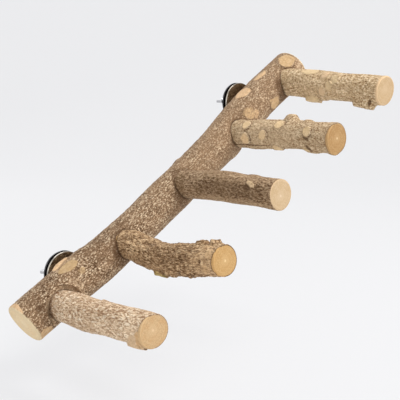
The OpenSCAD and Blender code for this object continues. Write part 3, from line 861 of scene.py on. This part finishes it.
def bark_look(dark, mid, light, fleck, straw, rim, **changes):
    """A bark's screen colours and grain. drawn is how far its grain is drawn out along the branch. The sanded
    rim reaches edge_mm from the end face, and slant_mm more on one side. Bark that lies lower than hollow_mm,
    measured from the plain form, takes the hollow colour, which is painted shade in the pegs' hollows and
    painted light on the flats round the trunk's sockets."""
    look = {
        "dark": dark, "mid": mid, "light": light, "fleck": fleck, "straw": straw, "rim": rim,
        "deep": (86, 60, 38), "hollow": (86, 60, 38), "hollow_mm": -0.35, "hollow_share": 0.3, "zone": mid,
        "zone_share": 0.3, "fade": mid, "fade_share": 0.0, "worn": (168, 136, 98), "orange": (212, 172, 128),
        "rim_share": 0.9, "line_share": 0.0, "crevice_share": 0.5, "edge_mm": -0.3, "edge_soft": 0.3,
        "edge_ragged": 2.0, "slant_mm": 0.0, "grain_mm": 1.2, "drawn": 1.6, "cluster": 0.25, "spread": 0.075,
        "bump_m": 0.0009, "relief_mm": 2.4, "depth_mm": 0.3, "crack_mm": 0.0, "sink_mm": 0.1,
        "lump_share": 1.6, "dot_mm": 2.1, "many_flecks": 0.6, "many_pits": 0.5, "fleck_size": 0.38,
        "fleck_share": 0.75, "pit_share": 0.5, "furrow_width": 0.025, "furrow_share": 0.5,
    }
    return with_colors(dict(look, **changes))


# The trunk's hollow colour is lighter than its bark: painted light on the flats round the pegs' feet
TRUNK_BARK = bark_look(
    (80, 56, 37), (134, 106, 79), (163, 135, 106), (242, 218, 184), (191, 159, 115), (230, 208, 170),
    hollow=(214, 184, 148), hollow_mm=-1.2, hollow_share=0.4, zone=(164, 130, 97), fade=(162, 132, 101),
    fade_share=0.35, worn=(172, 138, 100), orange=(222, 184, 142), edge_mm=1.6, edge_soft=0.6, grain_mm=1.05,
    spread=0.066, dot_mm=1.9, many_pits=0.4,
)
PEG_BARKS = [
    bark_look(
        (144, 108, 78), (206, 176, 143), (229, 202, 169), (252, 236, 210), (212, 180, 144), (206, 171, 126),
        zone=(196, 164, 130), orange=(204, 164, 118), line_share=0.45, edge_soft=0.5, slant_mm=3.2,
        grain_mm=1.3, drawn=2.2, cluster=0.2, dot_mm=2.5, pit_share=0.75, furrow_width=0.045, furrow_share=0.8,
    ),
    bark_look(
        (100, 72, 46), (169, 135, 99), (202, 168, 128), (234, 203, 161), (202, 182, 104), (202, 159, 102),
        deep=(76, 52, 32), hollow_mm=-0.5, hollow_share=0.5, worn=(150, 124, 70), line_share=0.75,
        edge_ragged=0.6, slant_mm=2.9, grain_mm=1.15, drawn=2.6, cluster=0.35, spread=0.07, relief_mm=3.0,
        depth_mm=1.0, crack_mm=0.4, dot_mm=2.2, many_flecks=0.3, many_pits=0.3, furrow_width=0.05,
        furrow_share=0.85,
    ),
    bark_look(
        (90, 65, 42), (143, 115, 86), (166, 138, 107), (198, 170, 137), (206, 176, 136), (210, 180, 142),
        zone=(132, 105, 74), zone_share=0.35, orange=(214, 184, 148), edge_mm=0.5, edge_ragged=0.6, drawn=2.2,
        cluster=0.15, depth_mm=0.22, sink_mm=0.08, many_flecks=0.2, many_pits=0.35,
    ),
    bark_look(
        (134, 102, 68), (186, 158, 124), (206, 180, 146), (236, 212, 176), (222, 194, 150), (186, 147, 98),
        zone=(172, 146, 110), worn=(192, 158, 116), orange=(240, 205, 158), line_share=0.5, crevice_share=0.85,
        edge_ragged=1.2, slant_mm=3.1, spread=0.08, many_flecks=0.4, many_pits=0.45, furrow_width=0.035,
        furrow_share=0.7,
    ),
    bark_look(
        (138, 106, 70), (190, 162, 125), (212, 185, 148), (244, 222, 188), (212, 185, 144), (216, 184, 144),
        zone=(182, 154, 115), worn=(204, 178, 136), orange=(216, 182, 146), crevice_share=0.4, edge_mm=2.2,
        edge_soft=1.0, grain_mm=1.3, spread=0.085, dot_mm=2.3, many_flecks=0.5, furrow_share=0.6,
    ),
]


def face_look(wood, ring, core, pith, patch, **changes):
    """Screen colours of an end face, and the place of its pith in millimetres off the branch's middle."""
    look = {
        "wood": wood, "ring": ring, "core": core, "pith": pith, "patch": patch,
        "pith_share": 0.4, "pith_mm": (1, 1), "ring_mm": 3.2, "ring_share": 0.4, "core_mm": 10,
        "core_share": 0.35, "patch_share": 0.5,
    }
    return with_colors(dict(look, **changes))


TRUNK_FACE = face_look(
    (238, 215, 176), (210, 182, 138), (246, 226, 190), (220, 190, 146), (230, 198, 150), pith_mm=(2, -3),
    ring_mm=3.6, ring_share=0.5,
)
PEG_FACES = [
    face_look((201, 169, 127), (168, 132, 88), (216, 184, 144), (232, 204, 164), (192, 150, 102), pith_share=0.8),
    face_look(
        (199, 161, 107), (170, 130, 78), (212, 176, 126), (240, 214, 168), (186, 142, 86), pith_share=1.0,
        pith_mm=(0, 0),
    ),
    face_look(
        (202, 175, 139), (178, 148, 110), (210, 186, 154), (236, 214, 186), (190, 160, 118), pith_share=0.8,
        pith_mm=(-1, 0), ring_share=0.35,
    ),
    face_look(
        (183, 146, 98), (150, 112, 66), (195, 160, 114), (244, 218, 176), (162, 120, 72), pith_share=1.0,
        pith_mm=(0, 0), ring_share=0.5,
    ),
    face_look((198, 170, 133), (176, 144, 106), (206, 180, 146), (202, 172, 132), (186, 154, 110), ring_share=0.3),
]


def build_trunk():
    """The trunk with its sockets, flats and countersinks cut in. Returns its limb."""
    place = on_trunk(0) @ Matrix.Rotation(math.pi / 2 - TRUNK_LEAN, 4, "Y") @ Matrix.Rotation(-math.pi / 2, 4, "Z")
    limb = Limb(
        TRUNK_LEN, TRUNK_R, TRUNK_ROUND, TRUNK_SEED, (TRUNK_BEND, TRUNK_GIRTH, TRUNK_KNOTS),
        (TRUNK_PATCHES, TRUNK_SHADES), TRUNK_BARK, place, axis=(0, 1),
    )
    obj = build_limb("trunk_branch", limb, TRUNK_STEP_MM)
    for material in (
        bark_material("trunk_bark", TRUNK_BARK), end_grain_material("trunk_end_grain", TRUNK_FACE),
        cut_wood_material("fresh_cut_wood", (196, 158, 112), (222, 190, 146)),
    ):
        obj.data.materials.append(material)
    top = TRUNK_R + CUT_OVER
    cutters = []
    for i in range(PEG_COUNT):
        radius = PEG_R * PEG_D_SHARES[i]
        depth, margin = FOOT_FLATS[i]
        flat = TRUNK_R - depth * radius
        socket = [(PEG_SEAT, radius + SOCKET_PLAY, FRESH_CUT), (flat, radius + SOCKET_PLAY, BARK)]
        rim = [(flat, radius * (1 + margin), BARK), (top, radius * (1 + margin), BARK)]
        cutters.append(round_cutter(on_peg(i), socket + rim))
        sink = [(-top, HEAD_R, FRESH_CUT), (HEAD_SINK - TRUNK_R, HEAD_R, FRESH_CUT)]
        cutters.append(round_cutter(on_peg(i), sink))
    for i in range(len(CLAMP_PLACES)):
        spot = WASHER_R + SPOT_MARGIN
        cutters.append(round_cutter(on_clamp(i), [(STUD_SEAT, spot, FRESH_CUT), (top, spot, FRESH_CUT)]))
    cut(obj, cutters)
    paint_limb(obj, limb, gap_to_pegs, TRUNK_SEAM_MM)
    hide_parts("trunk")
    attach(obj, "perch")
    return limb


def build_peg(i, trunk):
    """Peg i, from the bottom of its socket out."""
    radius = PEG_R * PEG_D_SHARES[i]
    length = TRUNK_R + PEG_REACH - PEG_SEAT + PEG_REACH * (PEG_REACH_SHARES[i] - 1)
    place = on_peg(i) @ Matrix.Translation((0, 0, PEG_SEAT))
    limb = Limb(
        length, radius, PEG_ROUND, PEG_SEED_STEP * i, (PEG_BENDS[i], PEG_GIRTHS[i], PEG_KNOTS[i]),
        (PEG_PATCHES[i], PEG_SHADES[i]), PEG_BARKS[i], place, SOCKET_DEPTH, SOCKET_DEPTH - FOOT_FLATS[i][0] * radius,
    )
    name = f"peg_branch_{i + 1}"
    obj = build_limb(name, limb, PEG_STEP_MM)
    obj.data.materials.append(bark_material(f"{name}_bark", PEG_BARKS[i]))
    obj.data.materials.append(end_grain_material(f"{name}_end_grain", PEG_FACES[i]))
    paint_limb(obj, limb, lambda points: gap_to_trunk(trunk, points), PEG_SEAM_MM)
    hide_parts(f"peg_{i + 1}")
    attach(obj, "perch")


def dress_hardware():
    """Steel for the nodes that stay, rounded edges for the nuts and inner washers, threads on the studs."""
    looks = {
        "inner_washer": metal_material("polished_washer_steel", (178, 170, 158), (136, 120, 100), 0.16, 60, 0.05),
        # Painted shade: the outer washers behind the wire wall take a darkened steel colour for the shade they sit
        # in
        "outer_washer": metal_material("shade_darkened_washer_steel", (74, 74, 76), (52, 50, 48), 0.2, 60, 0.05),
        "wing_nut": metal_material("cast_zinc", (198, 198, 200), (158, 158, 162), 0.34, 240, 0.35),
        "screw": metal_material("yellow_zinc", (206, 182, 116), (172, 142, 88), 0.32, 220, 0.1),
    }
    for name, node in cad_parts.items():
        for word, look in looks.items():
            if word in name:
                node.data.materials.clear()
                node.data.materials.append(look)
        if "wing_nut" in name or "inner_washer" in name:
            soften = node.modifiers.new("soft_edges", "BEVEL")
            soften.width, soften.segments = 0.4 * MM, 3
            soften.limit_method, soften.angle_limit = "ANGLE", math.radians(35)
    stud = metal_material("plated_stud_steel", (190, 192, 194), (150, 150, 150), 0.28, 200, 0.1)
    for i, level in enumerate(("lower", "upper")):
        bolt = threaded_stud(f"threaded_stud_{level}", on_clamp(i), STUD_SEAT - BOLT_BITE,
                             STUD_SEAT + WASHER_T + STUD_OUT)
        bolt.data.materials.append(stud)
        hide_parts(f"hanger_bolt_{level}")
        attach(bolt, "perch")


def stage():
    """A plain pale floor that curves up into a backdrop, a pale world and soft studio lamps."""
    pale = srgb(241, 241, 243)
    n = Nodes(bpy.data.materials.new("pale_floor"))
    lit = n.add("BsdfDiffuse", {"Color": (0.8, 0.8, 0.8, 1)})
    glow = n.add("Emission", {"Color": pale})
    n.surface(n.add("MixShader", {0: n.times(n.seen(), 0.8), 1: lit, 2: glow}))
    half, level, behind, tall, turns = 4.0, cad_box[0][2] - 0.05, 2.2, 3.5, 12
    profile = [(-half, level)]
    for k in range(turns + 1):
        t = math.pi / 2 * k / turns
        profile.append((behind - 1 + math.sin(t), level + 1 - math.cos(t)))
    profile.append((behind, level + tall))
    turn = Matrix.Rotation(CAMERA_AZIMUTH, 3, "Z")
    points = [turn @ Vector((x, y, z)) for y, z in profile for x in (-half, half)]
    faces = [(2 * k, 2 * k + 1, 2 * k + 3, 2 * k + 2) for k in range(len(profile) - 1)]
    mesh = bpy.data.meshes.new("floor")
    mesh.from_pydata(points, [], faces)
    mesh.polygons.foreach_set("use_smooth", [True] * len(faces))
    mesh.materials.append(n.owner)
    floor = add_object("floor", mesh)

    world = bpy.data.worlds.new("studio")
    bpy.context.scene.world = world
    n = Nodes(world)
    light = n.add("Background", {"Color": (0.95, 0.97, 1.0, 1), "Strength": 0.7})
    backdrop = n.add("Background", {"Color": pale})
    n.surface(n.add("MixShader", {0: n.seen(), 1: light, 2: backdrop}), "World")

    for name, place, size, power in (
        ("key_lamp", (0.5, -0.85, 1.2), 0.5, 15),
        ("fill_lamp", (-0.9, -1.0, 0.6), 1.0, 4),
        ("back_lamp", (0.3, 1.1, 0.8), 0.8, 4),
    ):
        data = bpy.data.lights.new(name, "AREA")
        data.size, data.energy = size, power
        lamp = add_object(name, data)
        lamp.location = place
        lamp.rotation_euler = (CAMERA_TARGET - Vector(place)).to_track_quat("-Z", "Y").to_euler()


def camera():
    """The camera that took the photograph."""
    data = bpy.data.cameras.new("photo_camera")
    data.sensor_width = SENSOR_MM
    data.lens = SENSOR_MM * FOCAL_PIXELS / FRAME_PIXELS
    obj = add_object("photo_camera", data)
    level = math.cos(CAMERA_ELEVATION)
    back = Vector((
        math.sin(CAMERA_AZIMUTH) * level, -math.cos(CAMERA_AZIMUTH) * level, math.sin(CAMERA_ELEVATION),
    ))
    obj.location = CAMERA_TARGET + back * CAMERA_DISTANCE
    obj.rotation_euler = (-back).to_track_quat("-Z", "Y").to_euler()
    bpy.context.scene.camera = obj


camera()
stage()
trunk_limb = build_trunk()
for index in range(PEG_COUNT):
    build_peg(index, trunk_limb)
dress_hardware()
bpy.context.scene.view_settings.view_transform = "Standard"
